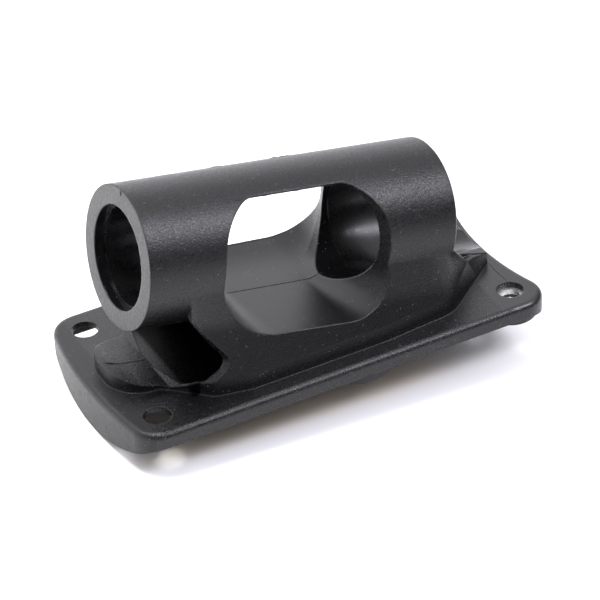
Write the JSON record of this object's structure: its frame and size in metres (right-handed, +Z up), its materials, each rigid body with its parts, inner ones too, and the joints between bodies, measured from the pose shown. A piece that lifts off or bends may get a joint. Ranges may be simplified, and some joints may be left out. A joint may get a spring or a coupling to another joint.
{
  "type": "cleat horn",
  "caption": "Black plastic tube seat tilted on a pedestal with a side window, standing on a screwed flange with a rounded open underside.",
  "frame": {"origin": "midway between the two front screw holes, on the flat top of the flange", "axes": "+X along the flange from the mouth's end to the rear, +Y across it, +Z up out of the flange"},
  "size_m": [0.1134, 0.0564, 0.0608],
  "materials": {
    "moulding": "fine-grained matt black moulding",
    "liner": "smooth glossy black bore liner",
    "pad": "plain matt black",
    "washer": "dull grey metal"
  },
  "bodies": {
    "root": {"cleat_body": "moulding", "front_bore_sleeve": "liner", "rear_bore_sleeve": "liner", "near_edge_pad": "pad", "far_edge_pad": "pad", "rear_near_washer": "washer", "rear_far_washer": "washer"}
  },
  "joints": []
}
